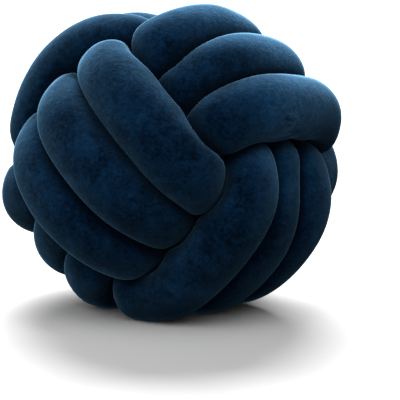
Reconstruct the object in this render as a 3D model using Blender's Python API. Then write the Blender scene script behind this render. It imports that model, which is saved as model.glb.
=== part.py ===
"""Knot cushion: one long stuffed tube of velvet, tied into a ball.

The knot is a monkey's fist. The tube makes three passes round the ball in one
direction, three more across them and three last ones across both, so that six
groups of three strands show on the ball. Its ends are sewn together inside, so
the tube is one closed ring. Where strands meet, they press each other flat.

Metres, +Z up. The origin is on the floor under the middle of the ball, whose
front faces -Y.
"""

import math
from collections import namedtuple

import bmesh
import bpy
import numpy as np

MM = 0.001
TINY = 1e-9                # keeps a division from meeting zero

# ---------------------------------------------------------------- the knot
# A bundle is three passes side by side. They run round the ball over a front
# and a back face, and between the faces they dive under the bundle that
# crosses them, which leaves a shoulder at both ends of each strand.
#
# offset    how far the strand lies from the middle of its bundle
# reach     how far out its middle line is
# shoulder  how far its middle line swings out at the near and the far end
Strand = namedtuple("Strand", "offset reach near_shoulder far_shoulder")

# All in mm, a row for each of the 18 strands that show. The last row of each
# front borders the pinwheel, where the three bundles meet on the ball's front.
LEFT_FRONT = (
    Strand(-54, 113, 70, 66),
    Strand(-2, 123, 75, 72),
    Strand(59, 114, 79, 65),
)
LEFT_BACK = (
    Strand(-51, 112, 70, 70),
    Strand(0, 124, 68, 68),
    Strand(62, 124, 89, 72),
)
LOWER_FRONT = (
    Strand(-41, 124, 78, 60),
    Strand(0, 122, 69, 77),
    Strand(53, 115, 75, 93),
)
LOWER_BACK = (
    Strand(-51, 112, 70, 74),
    Strand(0, 124, 70, 76),
    Strand(54, 114, 68, 81),
)
UPPER_FRONT = (
    Strand(-50, 110, 76, 78),
    Strand(1, 124, 68, 83),
    Strand(52, 121, 77, 101),
)
UPPER_BACK = (
    Strand(-64, 126, 70, 75),
    Strand(-3, 123, 78, 71),
    Strand(49, 111, 71, 90),
)
BUNDLES = ((LEFT_FRONT, LEFT_BACK), (LOWER_FRONT, LOWER_BACK), (UPPER_FRONT, UPPER_BACK))

WAIST_OFFSET = 40 * MM     # spacing of a bundle's passes inside the ball
SQUARENESS = 3.9           # of a pass's loop: 2 is an ellipse, more is boxier
FACE_CHANGE = 0.7          # width of the change from front to back, of the loop's cosine
PASS_CHANGE_DEG = 35       # either side of where one pass turns into the next
FIRST_PASS_START_DEG = -85
LAST_PASS_END_DEG = 962
CROSSOVER_PULL = 104 * MM  # strength of the bends between two bundles
CROSSOVER_POINTS = 82

# ---------------------------------------------------------------- the tube
TUBE_RADIUS = 32 * MM      # where nothing presses on it
CORE_RADIUS = 24 * MM      # where the tube is drawn tight in the middle of the knot
CORE_REACH = 66 * MM       # how far from the middle it has that radius
CORE_FADE = 38 * MM        # distance over which it fills out from there
STRAND_GAP = 2.4 * MM      # between two strands pressed together
CORE_GAP = 8.0 * MM        # between two runs in the middle of the ball
ROUNDING = 14              # of a section's corners: more is sharper
OWN_RUN = 68 * MM          # nearer than this along the tube is the same run
OWN_SECTION = 11 * MM      # nearer than this is the same section
BEND_SHARE = 0.9           # of the room that the inside of a bend leaves

LINE_POINTS = 1500         # on the middle line
RINGS = 345                # along the tube
SIDES = 16                 # round it
LINE_CHUNK = 50            # points of the line measured at a time
OUTER_CROWDING = 1.0       # how much closer the rings lie outside than inside

# ---------------------------------------------------------------- easing apart
# Runs that cross inside the ball are moved apart until they clear each other.
# The strands outside stay where the table puts them.
EASE_POINTS = 500
EASE_ROUNDS = 5
EASE_STEPS = 40
EASE_SPACING = 40 * MM     # wanted between two runs' middle lines
EASE_PUSH = 0.9            # share of the wanted shift made in each step
EASE_SMOOTHING = 0.25
EASE_RETURN = 0.2          # how much of a held run's shift is undone in each step
HOLD = 0.95
WEAR_DOWN_STEPS = 30       # rounds off the joins between passes and crossovers
HELD_FROM = 96 * MM        # distance from the middle where a run starts to be held
HELD_FADE = 14 * MM

# ---------------------------------------------------------------- how it lies
# The pinwheel's middle, seen from the ball's centre
PINWHEEL_TURN_DEG = 21.4   # from the front towards +X
PINWHEEL_LIFT_DEG = 7.2    # above level
PINWHEEL_ROLL_DEG = -1.6
AXES_ROUND_PINWHEEL_DEG = (180, 300, 60)   # the left, lower and upper bundle's faces
CENTRE_HEIGHT = 139 * MM   # the floor presses a small flat on the lowest strands
FLAT_WITHIN = 0.001 * MM   # a corner this close to the floor is on it

VELVET_COLOUR = (0.008, 0.033, 0.075, 1.0)


def smooth_step(value):
    """0 below 0, 1 above 1, and an even S between."""
    value = np.clip(value, 0.0, 1.0)
    return value * value * (3.0 - 2.0 * value)


# ---------------------------------------------------------------- middle line

def bundle_line(bundle, index):
    """The middle line of a bundle's three passes, a point a degree.

    The loop's radius is a superellipse in the plane of two of the knot's axes.
    Its place along the third axis is the pass's offset.
    """
    along, across, aside = (np.eye(3)[(index + k) % 3] for k in range(3))
    degrees = np.arange(FIRST_PASS_START_DEG, LAST_PASS_END_DEG, 1.0)
    laps = (degrees + 90.0) / 360.0
    cosine = np.cos(np.radians(degrees))
    sine = np.sin(np.radians(degrees))
    in_front = smooth_step(0.5 + cosine / FACE_CHANGE)

    def eased(passes):
        """One value for each pass, eased from pass to pass along the line."""
        values = np.full_like(degrees, passes[0])
        for lap in (1, 2):
            change = smooth_step(0.5 + (laps - lap) * 180.0 / PASS_CHANGE_DEG)
            values += (passes[lap] - passes[lap - 1]) * change
        return values

    def sizes(name):
        """A column of the table along the line, in metres."""
        front, back = (eased([getattr(strand, name) * MM for strand in face]) for face in bundle)
        return back + (front - back) * in_front

    power = SQUARENESS
    shoulder = np.where(sine > 0, sizes("near_shoulder"), sizes("far_shoulder"))
    radius = (np.abs(cosine / sizes("reach")) ** power + np.abs(sine / shoulder) ** power) ** (-1 / power)
    waist = eased([-WAIST_OFFSET, 0.0, WAIST_OFFSET])
    aside_place = waist + (sizes("offset") - waist) * cosine ** 2
    return (np.outer(radius * cosine, along)
            + np.outer(radius * sine, across)
            + np.outer(aside_place, aside))


def crossover(line, following):
    """The bend through the middle from one bundle's end to the next one's start."""
    leaving = line[-1] - line[-2]
    leaving *= CROSSOVER_PULL / np.linalg.norm(leaving)
    arriving = following[1] - following[0]
    arriving *= CROSSOVER_PULL / np.linalg.norm(arriving)
    t = np.linspace(0.0, 1.0, CROSSOVER_POINTS)[1:-1, None]
    return ((2 * t ** 3 - 3 * t ** 2 + 1) * line[-1]
            + (t ** 3 - 2 * t ** 2 + t) * leaving
            + (3 * t ** 2 - 2 * t ** 3) * following[0]
            + (t ** 3 - t ** 2) * arriving)


def step_lengths(points):
    """The length of each step along a closed line, from each point to the next."""
    return np.linalg.norm(np.roll(points, -1, 0) - points, axis=1)


def even_points(points, count, crowding=1.0):
    """A closed line set out again with count points, closer where crowding is more."""
    places = np.concatenate(([0.0], np.cumsum(step_lengths(points) * crowding)))
    closed = np.vstack((points, points[:1]))
    wanted = np.arange(count) * places[-1] / count
    return np.stack([np.interp(wanted, places, closed[:, k]) for k in range(3)], 1)


def neighbour_mean(points):
    """The middle between each point's two neighbours along a closed line."""
    return 0.5 * (np.roll(points, 1, 0) + np.roll(points, -1, 0))


def apart_along(places, length):
    """How far apart each two places lie along a closed line, the shorter way."""
    apart = np.abs(places[0][:, None] - places[1][None])
    return np.minimum(apart, length - apart)


def eased_apart(points):
    """The line with the runs inside the ball moved apart, so that they clear each other."""
    for _ in range(EASE_ROUNDS):
        points = even_points(points, EASE_POINTS)
        home = points
        held = smooth_step((np.linalg.norm(points, axis=1) - HELD_FROM) / HELD_FADE)
        held = HOLD * held[:, None]
        for _ in range(EASE_STEPS):
            steps = step_lengths(points)
            places = np.cumsum(steps) - steps
            along = apart_along((places, places), steps.sum())
            between = points[:, None] - points[None]
            distance = np.linalg.norm(between, axis=2) + TINY
            lack = np.where(along < OWN_RUN, 0.0, np.maximum(EASE_SPACING - distance, 0.0))
            push = (between * (lack / distance)[:, :, None]).sum(1)
            push /= np.maximum((lack > 0).sum(1), 1)[:, None]
            points = points + EASE_PUSH * push * (1 - held)
            points = points + EASE_SMOOTHING * (neighbour_mean(points) - points) * (1 - held)
            points = points + EASE_RETURN * (home - points) * held ** 2
    return points


def knot_line():
    """The tube's middle line, closed, about the ball's centre and in the knot's own axes."""
    bundles = [bundle_line(bundle, index) for index, bundle in enumerate(BUNDLES)]
    pieces = []
    for line, following in zip(bundles, bundles[1:] + bundles[:1]):
        pieces += [line, crossover(line, following)]
    points = even_points(np.vstack(pieces), LINE_POINTS)
    for _ in range(WEAR_DOWN_STEPS):
        points = 0.5 * (points + neighbour_mean(points))
    return eased_apart(points)


def knot_axes():
    """The knot's three axes in the world, as the columns of a matrix."""
    turn = math.radians(PINWHEEL_TURN_DEG)
    lift = math.radians(PINWHEEL_LIFT_DEG)
    pinwheel = np.array((math.sin(turn) * math.cos(lift),
                         -math.cos(turn) * math.cos(lift),
                         math.sin(lift)))
    right = np.array((1.0, 0.0, 0.0)) - pinwheel[0] * pinwheel
    right /= np.linalg.norm(right)
    up = np.cross(pinwheel, right)
    axes = []
    for around in AXES_ROUND_PINWHEEL_DEG:
        angle = math.radians(around + PINWHEEL_ROLL_DEG)
        aside = math.cos(angle) * right + math.sin(angle) * up
        axes.append(pinwheel / math.sqrt(3) + aside * math.sqrt(2 / 3))
    return np.stack(axes, 1)


# ---------------------------------------------------------------- the tube

def section_directions(centres):
    """For each ring, the outward directions of its corners, without twist along the tube."""
    ahead = np.roll(centres, -1, 0) - np.roll(centres, 1, 0)
    ahead /= np.linalg.norm(ahead, axis=1)[:, None]
    side = np.cross(ahead[0], (0.0, 0.0, 1.0))
    sides = []
    for way in np.vstack((ahead, ahead[:1])):
        side = side - np.dot(side, way) * way
        side = side / np.linalg.norm(side)
        sides.append(side)
    other = np.cross(ahead, sides[:-1])
    # carried once round the knot, the first side comes back turned by this much
    left_over = math.atan2(np.dot(sides[-1], other[0]), np.dot(sides[-1], sides[0]))
    ring, corner = np.meshgrid(np.arange(RINGS), np.arange(SIDES), indexing="ij")
    angle = 2 * np.pi * corner / SIDES - left_over * ring / RINGS
    return (np.cos(angle)[:, :, None] * np.array(sides[:-1])[:, None]
            + np.sin(angle)[:, :, None] * other[:, None])


def pressed_radii(line, centres, ways):
    """How far each corner of each ring is from the middle line.

    A strand alone is round. Against another it ends half way between their
    middle lines, less half the gap, and in a bend it keeps to its own side.
    """
    from_middle = np.linalg.norm(centres, axis=1)
    outer = smooth_step((from_middle - CORE_REACH) / CORE_FADE)
    free = CORE_RADIUS + (TUBE_RADIUS - CORE_RADIUS) * outer
    gap = CORE_GAP + (STRAND_GAP - CORE_GAP) * outer

    steps = step_lengths(line)
    line_places = np.cumsum(steps) - steps
    nearest = np.argmin(np.linalg.norm(centres[:, None] - line[None], axis=2), axis=1)
    along = apart_along((line_places[nearest], line_places), steps.sum())
    own = along < OWN_RUN
    gap = np.where(own, 0.0, gap[:, None])[:, None]
    part = np.where(own, BEND_SHARE, 1.0)[:, None]
    nearby = (along < OWN_SECTION)[:, None]

    pressed = np.full(ways.shape[:2], np.inf)
    for first in range(0, len(line), LINE_CHUNK):
        chunk = slice(first, first + LINE_CHUNK)
        between = line[None, chunk] - centres[:, None]
        towards = np.einsum("rsk,rmk->rsm", ways, between) + gap[:, :, chunk]
        room = ((between ** 2).sum(2)[:, None] - gap[:, :, chunk] ** 2) * part[:, :, chunk]
        faces = (towards > TINY) & ~nearby[:, :, chunk]
        reach = np.where(faces, room / (2 * np.maximum(towards, TINY)), np.inf)
        pressed = np.minimum(pressed, reach.min(2))
    return (free[:, None] ** -ROUNDING + pressed ** -ROUNDING) ** (-1 / ROUNDING)


def on_floor(centres, ways, radii):
    """The radii cut short where a corner would reach below the floor."""
    falls = np.maximum(-ways[:, :, 2], TINY)
    return np.minimum(radii, centres[:, None, 2] / falls)


def tube_rings(line):
    """The corners of every ring of the tube, in the world, before the ball is centred."""
    from_middle = np.linalg.norm(0.5 * (line + np.roll(line, -1, 0)), axis=1)
    crowding = 1.0 + OUTER_CROWDING * smooth_step((from_middle - CORE_REACH) / CORE_FADE)
    centres = even_points(line, RINGS, crowding)
    ways = section_directions(centres)
    radii = pressed_radii(line, centres, ways)
    middle = np.array((0.0, 0.0, CENTRE_HEIGHT))
    radii = on_floor(centres + middle, ways, radii)
    return centres[:, None] + middle + radii[:, :, None] * ways


def velvet():
    """Deep blue velvet."""
    material = bpy.data.materials.new("navy_velvet")
    material.use_nodes = True
    shader = material.node_tree.nodes["Principled BSDF"]
    shader.inputs["Base Color"].default_value = VELVET_COLOUR
    shader.inputs["Roughness"].default_value = 0.9
    shader.inputs["Metallic"].default_value = 0.0
    shader.inputs["Sheen Weight"].default_value = 0.6
    return material


def knotted_tube(collection):
    """The cushion's only piece: a closed loft, since every section is pressed its own way."""
    line = even_points(knot_line(), LINE_POINTS) @ knot_axes().T
    rings = tube_rings(line)
    low = rings.min((0, 1))
    high = rings.max((0, 1))
    rings -= np.array((low[0] + high[0], low[1] + high[1], 0.0)) / 2
    rings[:, :, 2] = np.where(rings[:, :, 2] < FLAT_WITHIN, 0.0, rings[:, :, 2])

    form = bmesh.new()
    corners = [[form.verts.new(corner) for corner in ring] for ring in rings]
    for ring in range(RINGS):
        here = corners[ring]
        onward = corners[(ring + 1) % RINGS]
        for side in range(SIDES):
            next_side = (side + 1) % SIDES
            form.faces.new((here[side], here[next_side], onward[next_side], onward[side]))
    bmesh.ops.recalc_face_normals(form, faces=form.faces)
    bmesh.ops.triangulate(form, faces=form.faces, quad_method="SHORT_EDGE")

    mesh = bpy.data.meshes.new("knotted_tube")
    form.to_mesh(mesh)
    form.free()
    mesh.shade_smooth()
    mesh.materials.append(velvet())
    collection.objects.link(bpy.data.objects.new("knotted_tube", mesh))


def main():
    for old in list(bpy.data.objects):
        bpy.data.objects.remove(old)
    cushion = bpy.data.collections.new("knot_cushion")
    bpy.context.scene.collection.children.link(cushion)
    knotted_tube(cushion)


if __name__ == "__main__":
    main()
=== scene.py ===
"""The looks of the knot cushion: a ball tied from one long stuffed velvet tube.

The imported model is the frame. Its tube is copied, and the copy is stuffed by a
cloth simulation under pressure, finished as velvet and shown in its place.
"""

import math

import bpy
import numpy as np
from bpy.props import FloatProperty, FloatVectorProperty, IntProperty, PointerProperty
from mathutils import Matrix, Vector
from mathutils.bvhtree import BVHTree


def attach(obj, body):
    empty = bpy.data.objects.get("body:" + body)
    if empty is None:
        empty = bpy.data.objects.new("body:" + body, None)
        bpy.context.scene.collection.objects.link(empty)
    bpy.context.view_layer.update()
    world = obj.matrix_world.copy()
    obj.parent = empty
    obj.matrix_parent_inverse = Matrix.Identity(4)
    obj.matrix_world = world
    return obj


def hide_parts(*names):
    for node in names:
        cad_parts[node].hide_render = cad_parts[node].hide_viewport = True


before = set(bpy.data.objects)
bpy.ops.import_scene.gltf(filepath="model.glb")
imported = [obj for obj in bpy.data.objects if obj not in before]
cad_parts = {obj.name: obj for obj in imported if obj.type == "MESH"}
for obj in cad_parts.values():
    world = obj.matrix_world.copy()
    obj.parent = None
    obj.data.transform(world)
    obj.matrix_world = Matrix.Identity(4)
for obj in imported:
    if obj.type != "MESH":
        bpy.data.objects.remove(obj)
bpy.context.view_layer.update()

bl_info = {
    "name": "Knot Cushion",
    "version": (1, 0, 0),
    "blender": (4, 5, 0),
    "location": "3D View > Sidebar > Knot Cushion",
    "description": "Stuffs and finishes the tied tube of a knot cushion",
    "category": "Object",
}

MM = 0.001
TINY = 1e-9                  # keeps a division from meeting zero


# ---------------------------------------------------------------- settings

class CushionSettings(bpy.types.PropertyGroup):
    """What a maker would change on the cushion."""

    pressure: FloatProperty(
        name="Stuffing pressure",
        description="How hard the filling presses the velvet out",
        default=8.0,
    )
    swell: FloatProperty(
        name="Swell",
        description="The furthest that the filling may push the velvet out",
        default=2.2 * MM,
        unit="LENGTH",
    )
    strand_gap: FloatProperty(
        name="Strand gap",
        description="What stays open between two strands that press on each other",
        default=0.5 * MM,
        unit="LENGTH",
    )
    settling_frames: IntProperty(
        name="Settling frames",
        description="Length of the cloth simulation",
        default=20,
    )
    pile_deep: FloatVectorProperty(
        name="Deep pile",
        description="Colour looking down into the pile",
        default=(0.0002, 0.0020, 0.0062),
        subtype="COLOR",
    )
    pile_brushed: FloatVectorProperty(
        name="Brushed pile",
        description="Colour where the pile is brushed flat and catches light",
        default=(0.0064, 0.0384, 0.0995),
        subtype="COLOR",
    )
    # Painted sheen: the colour of the light line that is mixed into the base colour at grazing angles
    painted_edge_sheen: FloatVectorProperty(
        name="Painted edge sheen",
        description="Colour of the thin line where the pile is seen from the side",
        default=(0.085, 0.190, 0.290),
        subtype="COLOR",
    )
    sheen_tint: FloatVectorProperty(
        name="Sheen",
        description="Colour of the light that the pile's tips scatter",
        default=(0.024, 0.058, 0.098),
        subtype="COLOR",
    )


class StudioSettings(bpy.types.PropertyGroup):
    """The floor and the lights."""

    floor_colour: FloatVectorProperty(
        name="Floor",
        description="Colour of the seamless paper",
        default=(0.335, 0.335, 0.335),
        subtype="COLOR",
    )
    key_strength: FloatProperty(
        name="Key light",
        description="Strength of the soft light from above and behind",
        default=16.0,
    )
    fill_strength: FloatProperty(
        name="Fill light",
        description="Strength of the even light from all round",
        default=1.0,
    )


# ---------------------------------------------------------------- shader maths

class Socket:
    """One output of a node. Sums written with it add Math nodes."""

    def __init__(self, nodes, socket):
        self.nodes = nodes
        self.socket = socket

    def maths(self, operation, *values):
        return self.nodes.node("ShaderNodeMath", {"operation": operation}, values)

    def __add__(self, other):
        return self.maths("ADD", self, other)

    def __sub__(self, other):
        return self.maths("SUBTRACT", self, other)

    def __rsub__(self, other):
        return self.maths("SUBTRACT", other, self)

    def __mul__(self, other):
        return self.maths("MULTIPLY", self, other)

    __radd__ = __add__
    __rmul__ = __mul__

    def __pow__(self, other):
        return self.maths("POWER", self, other)

    def at_least(self, least):
        return self.maths("MAXIMUM", self, least)


class Nodes:
    """The nodes of a material or world, made one call at a time."""

    def __init__(self, owner):
        owner.use_nodes = True
        self.nodes = owner.node_tree.nodes
        self.links = owner.node_tree.links

    def set(self, socket, value):
        """Links a socket to another one, or sets its number or colour."""
        if isinstance(value, Socket):
            self.links.new(value.socket, socket)
        else:
            socket.default_value = value

    def node(self, kind, settings=None, values=(), output=0):
        """Adds a node. Settings are its own, and values go to its sockets by place or name."""
        node = self.nodes.new(kind)
        for name, value in (settings or {}).items():
            setattr(node, name, value)
        pairs = values.items() if isinstance(values, dict) else enumerate(values)
        for key, value in pairs:
            self.set(node.inputs[key], value)
        return Socket(self, node.outputs[output])

    def mix(self, share, first, second):
        """A colour between two. A Mix node's colours are its sockets 6 and 7, and its result is 2."""
        colours = [c if isinstance(c, Socket) else (*c, 1.0) for c in (first, second)]
        return self.node("ShaderNodeMix", {"data_type": "RGBA"},
                         {0: share, 6: colours[0], 7: colours[1]}, output=2)

    def noise(self, place, scale, detail=2.0, roughness=0.5, distortion=0.0):
        return self.node("ShaderNodeTexNoise", {}, {
            "Vector": place, "Scale": scale, "Detail": detail,
            "Roughness": roughness, "Distortion": distortion})

    def ramp(self, value, low, high):
        """0 below low, 1 above high, and a soft S between."""
        return self.node("ShaderNodeMapRange", {"interpolation_type": "SMOOTHSTEP"},
                         {"Value": value, "From Min": low, "From Max": high})


# ---------------------------------------------------------------- the velvet

# Noise patterns: features for each metre, detail, roughness, distortion
PATCHES = (24.0, 3.0, 0.55, 0.5)
PATCH_RANGE = (0.38, 0.68)
SMUDGES = (85.0, 3.0, 0.6, 0.9)
SMUDGE_RANGE = (0.38, 0.70)
FLECKS = (330.0, 2.0, 0.6, 0.3)
PEBBLES = (230.0, 3.0, 0.65, 0.6)
PEBBLE_RANGE = (0.30, 0.70)
TIPS = (1600.0, 2.0, 0.6)
LUMPS = (45.0, 2.0, 0.5)
FOLDS = (60.0, 1.0)
FOLD_TURN = math.radians(-35)           # of the noise, which only picks other folds from it
FOLD_SHAPE = (1.0, 1.0, 4.0)            # makes the folds low and long

# The nap is how flat the pile lies: 0 is upright and dark, 1 is flat and light. The listed areas and
# the folds add painted light and shade to it.
NAP_EVERYWHERE = 0.04
NAP_OF_PATCHES = 0.15
NAP_OF_SMUDGES = 0.12
NAP_OF_FLECKS = 0.46
FOLD_PAINTED_LIGHT = 3.0
PAINTED_LIGHT_AREAS = (                       # middle, reach, painted light (above 0) or painted shade (below 0) there
    ((0.120, -0.105, 0.175), 0.085, 0.58),
    ((0.050, -0.020, 0.275), 0.090, 0.40),
    ((0.120, -0.035, 0.240), 0.080, 0.36),
    ((0.160, 0.020, 0.125), 0.065, -0.80),
    ((-0.150, 0.020, 0.115), 0.060, -0.24),
)
PAINTED_AREA_LEAST = 0.55                    # share of it between the pebbles
PAINTED_AREA_MORE = 0.9                      # what a pebble adds to that share
PUCKER_PLACE = (0.104, -0.094, 0.179)   # where the cloth is gathered in fine folds
PUCKER_REACH = 28 * MM

TIP_HEIGHT = 0.16 * MM
FLECK_HEIGHT = 0.32 * MM
SMUDGE_HEIGHT = 0.12 * MM
LUMP_HEIGHT = 1.2 * MM
PEBBLE_HEIGHT = 0.7 * MM
FOLD_HEIGHT = 4.0 * MM

# Painted shade: the colour is darkened in the creases between strands, by how little open sky they
# see
CREASE_REACH = 40 * MM
CREASE_RANGE = (0.15, 0.95)             # of open sky: from the darkest painted crease shade to none
SOFT_EDGE = 0.45                        # painted sheen on pile that turns away
FINE_EDGE = 1.1                         # painted sheen line on pile that is seen from the side
FINE_EDGE_RANGE = (0.74, 1.0)
EDGE_UPRIGHT = 0.35                     # share of that painted sheen on upright pile
EDGE_FLAT = 1.3                         # what flat pile adds to that share
UPRIGHT_ROUGHNESS = 0.95
FLAT_SHINE = 0.15                       # how much less rough flat pile is


def velvet(settings):
    """Short-pile velvet: dark where seen straight on and light at a grazing angle, partly from the
    shader's sheen and partly from a sheen line painted into the colour, with painted shade in the
    creases and painted light and shade in listed areas and along the folds.
    """
    material = bpy.data.materials.new("navy_velvet")
    pile = Nodes(material)
    place = pile.node("ShaderNodeTexCoord", output="Object")

    def near(middle, reach):
        """1 at the middle, and 0 from the reach on."""
        away = pile.node("ShaderNodeVectorMath", {"operation": "DISTANCE"},
                         (place, middle), "Value")
        return 1.0 - pile.ramp(away, 0.0, reach)

    patches = pile.ramp(pile.noise(place, *PATCHES), *PATCH_RANGE)
    smudges = pile.ramp(pile.noise(place, *SMUDGES), *SMUDGE_RANGE)
    flecks = pile.noise(place, *FLECKS)
    pebbles = pile.ramp(pile.noise(place, *PEBBLES), *PEBBLE_RANGE)
    nap_and_painted_shading = (patches * NAP_OF_PATCHES + smudges * NAP_OF_SMUDGES
           + (flecks - 0.5) * NAP_OF_FLECKS + NAP_EVERYWHERE)
    # Painted light and shade: listed areas of the colour are made lighter or darker
    for middle, reach, more in PAINTED_LIGHT_AREAS:
        nap_and_painted_shading = nap_and_painted_shading + near(middle, reach) * (pebbles * PAINTED_AREA_MORE + PAINTED_AREA_LEAST) * more

    across = pile.node("ShaderNodeMapping", {}, {
        "Vector": place, "Rotation": (0.0, FOLD_TURN, 0.0), "Scale": FOLD_SHAPE})
    folds = near(PUCKER_PLACE, PUCKER_REACH) * (pile.noise(across, *FOLDS) - 0.5)
    # Painted highlights and shade: the folds are also drawn into the colour as light and dark streaks
    nap_and_painted_shading = nap_and_painted_shading + folds * FOLD_PAINTED_LIGHT

    tips = pile.noise(place, *TIPS)
    lumps = pile.noise(place, *LUMPS)
    height = (tips * TIP_HEIGHT + flecks * FLECK_HEIGHT + smudges * SMUDGE_HEIGHT
              + lumps * LUMP_HEIGHT + pebbles * nap_and_painted_shading * PEBBLE_HEIGHT + folds * FOLD_HEIGHT)
    bump = pile.node("ShaderNodeBump", {}, {"Strength": 1.0, "Distance": 1.0, "Height": height})

    # Painted shade: the pile colour and its painted sheen line are darkened in the creases
    open_sky = pile.node("ShaderNodeAmbientOcclusion", {"samples": 8},
                         {"Distance": CREASE_REACH}, "AO")
    lit = pile.ramp(open_sky, *CREASE_RANGE)
    # Painted sheen: a light line where the pile is seen at a grazing angle is mixed into the base
    # colour
    turned = pile.node("ShaderNodeLayerWeight", {}, {"Blend": 0.5}, "Facing")
    edge = turned * turned * SOFT_EDGE + pile.ramp(turned, *FINE_EDGE_RANGE) * FINE_EDGE
    painted_sheen_share = edge * (nap_and_painted_shading * EDGE_FLAT + EDGE_UPRIGHT)
    colour_with_painted_shade = pile.mix(nap_and_painted_shading * lit, settings.pile_deep, settings.pile_brushed)

    shader = pile.nodes["Principled BSDF"].inputs
    pile.set(shader["Base Color"], pile.mix(painted_sheen_share * lit, colour_with_painted_shade, settings.painted_edge_sheen))
    pile.set(shader["Roughness"], UPRIGHT_ROUGHNESS - nap_and_painted_shading * FLAT_SHINE)
    pile.set(shader["Normal"], bump)
    shader["Specular IOR Level"].default_value = 0.0
    shader["Sheen Weight"].default_value = 1.0
    shader["Sheen Roughness"].default_value = 0.5
    shader["Sheen Tint"].default_value = (*settings.sheen_tint, 1.0)
    return material


# ---------------------------------------------------------------- the cushion

SAME_POINT = 0.001 * MM      # corners this close are one
FIT_ROUNDS = 6
FIT_SHARE = 0.9              # of what the smooth surface misses, made up in each round
OFF_SURFACE = 0.2 * MM       # where a ray starts, so that it doesn't meet its own face
ROOM_SEARCH = 30 * MM        # how far ahead of a point another strand is looked for
FLOOR_TOUCH = 0.02 * MM      # a point this low lies on the floor


def pick_only(piece):
    """Selects one object and makes it the active one."""
    bpy.ops.object.select_all(action="DESELECT")
    piece.select_set(True)
    bpy.context.view_layer.objects.active = piece


def points_of(mesh):
    points = np.empty(len(mesh.vertices) * 3, np.float32)
    mesh.vertices.foreach_get("co", points)
    return points.reshape(-1, 3).astype(float)


def set_points(mesh, points):
    mesh.vertices.foreach_set("co", points.astype(np.float32).ravel())
    mesh.update()


def lift_to_floor(points):
    """Brings what is under the floor up to it."""
    points[:, 2] = np.maximum(points[:, 2], 0.0)


def evaluated_points(piece):
    """The object's points after its modifiers."""
    graph = bpy.context.evaluated_depsgraph_get()
    return points_of(piece.evaluated_get(graph).to_mesh())


def tube_copy(node):
    """The CAD tube again, as one mesh of four-sided faces."""
    piece = bpy.data.objects.new("stuffed_tube", node.data.copy())
    bpy.context.scene.collection.objects.link(piece)
    pick_only(piece)
    bpy.ops.mesh.customdata_custom_splitnormals_clear()
    bpy.ops.object.mode_set(mode="EDIT")
    bpy.ops.mesh.select_all(action="SELECT")
    bpy.ops.mesh.remove_doubles(threshold=SAME_POINT)
    bpy.ops.mesh.tris_convert_to_quads(face_threshold=math.pi, shape_threshold=math.pi)
    bpy.ops.object.mode_set(mode="OBJECT")
    return piece


def add_smoother(piece):
    """One level of subdivision surface."""
    smoother = piece.modifiers.new("Smooth", "SUBSURF")
    smoother.levels = 1
    smoother.render_levels = 1
    return smoother


def smooth_through_corners(piece):
    """Subdivides the mesh once, with a smooth surface that goes through its corners.

    A subdivision surface is pulled inside the corners that it is made from, so the
    corners are first moved out until the surface meets where they were.
    """
    mesh = piece.data
    corners = points_of(mesh)
    smoother = add_smoother(piece)
    for _ in range(FIT_ROUNDS):
        miss = corners - evaluated_points(piece)[:len(corners)]
        set_points(mesh, points_of(mesh) + FIT_SHARE * miss)
    pick_only(piece)
    bpy.ops.object.modifier_apply(modifier=smoother.name)


def room_ahead(mesh):
    """How far each point may go along its normal before it meets another face."""
    tree = BVHTree.FromPolygons([v.co for v in mesh.vertices], [p.vertices for p in mesh.polygons])
    room = np.full(len(mesh.vertices), ROOM_SEARCH)
    for vertex in mesh.vertices:
        start = vertex.co + vertex.normal * OFF_SURFACE
        place, _, _, distance = tree.ray_cast(start, vertex.normal, ROOM_SEARCH)
        if place is not None:
            room[vertex.index] = distance + OFF_SURFACE
    return room


def stuff(piece, settings):
    """The filling presses the velvet out, by as much as the strands leave room for."""
    mesh = piece.data
    before = points_of(mesh)
    limit = np.clip((room_ahead(mesh) - settings.strand_gap) / 2, 0, settings.swell)
    cloth = piece.modifiers.new("Filling", "CLOTH")
    cloth.settings.use_pressure = True
    cloth.settings.uniform_pressure_force = settings.pressure
    cloth.settings.effector_weights.gravity = 0.0
    cloth.collision_settings.use_collision = False
    cloth.point_cache.frame_end = settings.settling_frames
    scene = bpy.context.scene
    for moment in range(1, settings.settling_frames + 1):
        scene.frame_set(moment)
    shift = evaluated_points(piece) - before
    piece.modifiers.remove(cloth)
    scene.frame_set(1)
    length = np.linalg.norm(shift, axis=1)
    shift *= (np.minimum(length, limit) / np.maximum(length, TINY))[:, None]
    after = before + shift
    after[before[:, 2] < FLOOR_TOUCH, 2] = 0.0
    lift_to_floor(after)
    set_points(mesh, after)


class KNOT_OT_tube(bpy.types.Operator):
    """Make the stuffed velvet tube of the knot."""

    bl_idname = "knot_cushion.tube"
    bl_label = "Stuffed Tube"

    def execute(self, context):
        settings = context.scene.knot_cushion
        piece = tube_copy(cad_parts["knotted_tube"])
        smooth_through_corners(piece)
        stuff(piece, settings)
        smooth_through_corners(piece)
        points = points_of(piece.data)
        lift_to_floor(points)
        set_points(piece.data, points)
        piece.data.shade_smooth()
        piece.data.materials.clear()
        piece.data.materials.append(velvet(settings))
        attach(piece, "root")
        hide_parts("knotted_tube")
        return {"FINISHED"}


# ---------------------------------------------------------------- the studio

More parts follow.
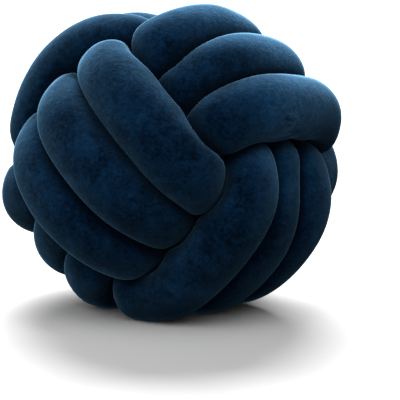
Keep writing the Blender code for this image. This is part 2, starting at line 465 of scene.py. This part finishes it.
FLOOR_WIDTH = 60.0
PAPER_GRAIN = (400.0, 2.0)              # features for each metre, detail
PAPER_ROUGHNESS = 0.9
GRAIN_ROUGHNESS = 0.1                   # what the grain adds to it
SOFT_LIGHTS = (                         # towards it, sharpness, strength
    ((0.0, -0.5, 1.0), 8.0, 6.2),
    ((-1.0, 1.0, 0.3), 3.0, 1.8),
    ((-1.0, -1.0, 0.5), 3.0, 1.3),
    ((0.5, -1.0, -0.3), 3.0, 0.4),
)
KEY_TILT = math.radians(-48)
KEY_SPREAD = math.radians(38)
SENSOR_WIDTH = 36.0
CAMERA_TARGET = Vector((-0.0026, 0.0036, 0.1390))
CAMERA_ELEVATION = math.radians(8)
CAMERA_DISTANCE = 1.6
PIXELS_PER_METRE = 1052                 # at the target
IMAGE_PIXELS = 400
TARGET_PIXEL = (169, 159.5)


def paper(settings):
    """The studio's seamless pale paper."""
    material = bpy.data.materials.new("pale_paper")
    sheet = Nodes(material)
    place = sheet.node("ShaderNodeTexCoord", output="Object")
    grain = sheet.noise(place, *PAPER_GRAIN)
    shader = sheet.nodes["Principled BSDF"].inputs
    sheet.set(shader["Roughness"], PAPER_ROUGHNESS + grain * GRAIN_ROUGHNESS)
    shader["Base Color"].default_value = (*settings.floor_colour, 1.0)
    shader["Specular IOR Level"].default_value = 0.0
    return material


def studio_air(settings):
    """Wide soft lights all round, as a world, in front of a white background."""
    world = bpy.data.worlds.new("studio_air")
    air = Nodes(world)
    way = air.node("ShaderNodeTexCoord", output="Generated")
    glow = 0.0
    for towards, sharpness, strength in SOFT_LIGHTS:
        facing = air.node("ShaderNodeVectorMath", {"operation": "DOT_PRODUCT"},
                          (way, Vector(towards).normalized()), "Value")
        glow = facing.at_least(0.0) ** sharpness * strength + glow
    background = air.node("ShaderNodeLightPath", output="Is Camera Ray")
    sky = air.nodes["Background"].inputs
    air.set(sky["Color"], glow * (1.0 - background) + background)
    sky["Strength"].default_value = settings.fill_strength
    return world


def key_light(strength):
    """The soft light from above and behind, which throws the shadow forwards."""
    key = bpy.data.lights.new("soft_key", "SUN")
    key.energy = strength
    key.angle = KEY_SPREAD
    lamp = bpy.data.objects.new("soft_key", key)
    lamp.rotation_euler = (KEY_TILT, 0.0, 0.0)
    return lamp


def photo_camera():
    """The camera at the photograph's height, with the target at the photograph's pixel."""
    camera = bpy.data.cameras.new("photo_camera")
    camera.sensor_width = SENSOR_WIDTH
    camera.lens = SENSOR_WIDTH * CAMERA_DISTANCE * PIXELS_PER_METRE / IMAGE_PIXELS
    view = bpy.data.objects.new("photo_camera", camera)
    back = Vector((0.0, -math.cos(CAMERA_ELEVATION), math.sin(CAMERA_ELEVATION)))
    up = Vector((0.0, math.sin(CAMERA_ELEVATION), math.cos(CAMERA_ELEVATION)))
    view.location = CAMERA_TARGET + CAMERA_DISTANCE * back
    sideways = (IMAGE_PIXELS / 2 - TARGET_PIXEL[0]) / PIXELS_PER_METRE
    below = (IMAGE_PIXELS / 2 - TARGET_PIXEL[1]) / PIXELS_PER_METRE
    aim = CAMERA_TARGET + Vector((sideways, 0.0, 0.0)) - below * up
    view.rotation_euler = (aim - view.location).to_track_quat("-Z", "Y").to_euler()
    return view


class KNOT_OT_studio(bpy.types.Operator):
    """Lay the pale floor, and set up the soft light and the camera."""

    bl_idname = "knot_cushion.studio"
    bl_label = "Studio"

    def execute(self, context):
        settings = context.scene.knot_studio
        scene = context.scene
        bpy.ops.object.select_all(action="DESELECT")
        bpy.ops.mesh.primitive_plane_add(size=FLOOR_WIDTH, location=(0.0, 0.0, 0.0))
        floor = context.object
        floor.name = "studio_floor"
        floor.data.materials.append(paper(settings))

        # The soft lights stand for what the paper throws back on the ball
        floor.visible_diffuse = False
        floor.visible_glossy = False
        scene.world = studio_air(settings)
        scene.collection.objects.link(key_light(settings.key_strength))

        view = photo_camera()
        scene.collection.objects.link(view)
        scene.camera = view
        scene.view_settings.view_transform = "Standard"
        return {"FINISHED"}


# ---------------------------------------------------------------- the add-on

class KNOT_PT_panel(bpy.types.Panel):
    """The cushion's pieces and settings."""

    bl_idname = "KNOT_PT_panel"
    bl_label = "Knot Cushion"
    bl_space_type = "VIEW_3D"
    bl_region_type = "UI"
    bl_category = "Knot Cushion"

    def draw(self, context):
        layout = self.layout
        for name in CushionSettings.__annotations__:
            layout.prop(context.scene.knot_cushion, name)
        layout.operator(KNOT_OT_tube.bl_idname)
        for name in StudioSettings.__annotations__:
            layout.prop(context.scene.knot_studio, name)
        layout.operator(KNOT_OT_studio.bl_idname)


CLASSES = (CushionSettings, StudioSettings, KNOT_OT_tube, KNOT_OT_studio, KNOT_PT_panel)


def register():
    for kind in CLASSES:
        bpy.utils.register_class(kind)
    bpy.types.Scene.knot_cushion = PointerProperty(type=CushionSettings)
    bpy.types.Scene.knot_studio = PointerProperty(type=StudioSettings)


def unregister():
    del bpy.types.Scene.knot_studio
    del bpy.types.Scene.knot_cushion
    for kind in reversed(CLASSES):
        bpy.utils.unregister_class(kind)


def main():
    register()
    bpy.ops.knot_cushion.studio()
    bpy.ops.knot_cushion.tube()


if __name__ == "__main__":
    main()
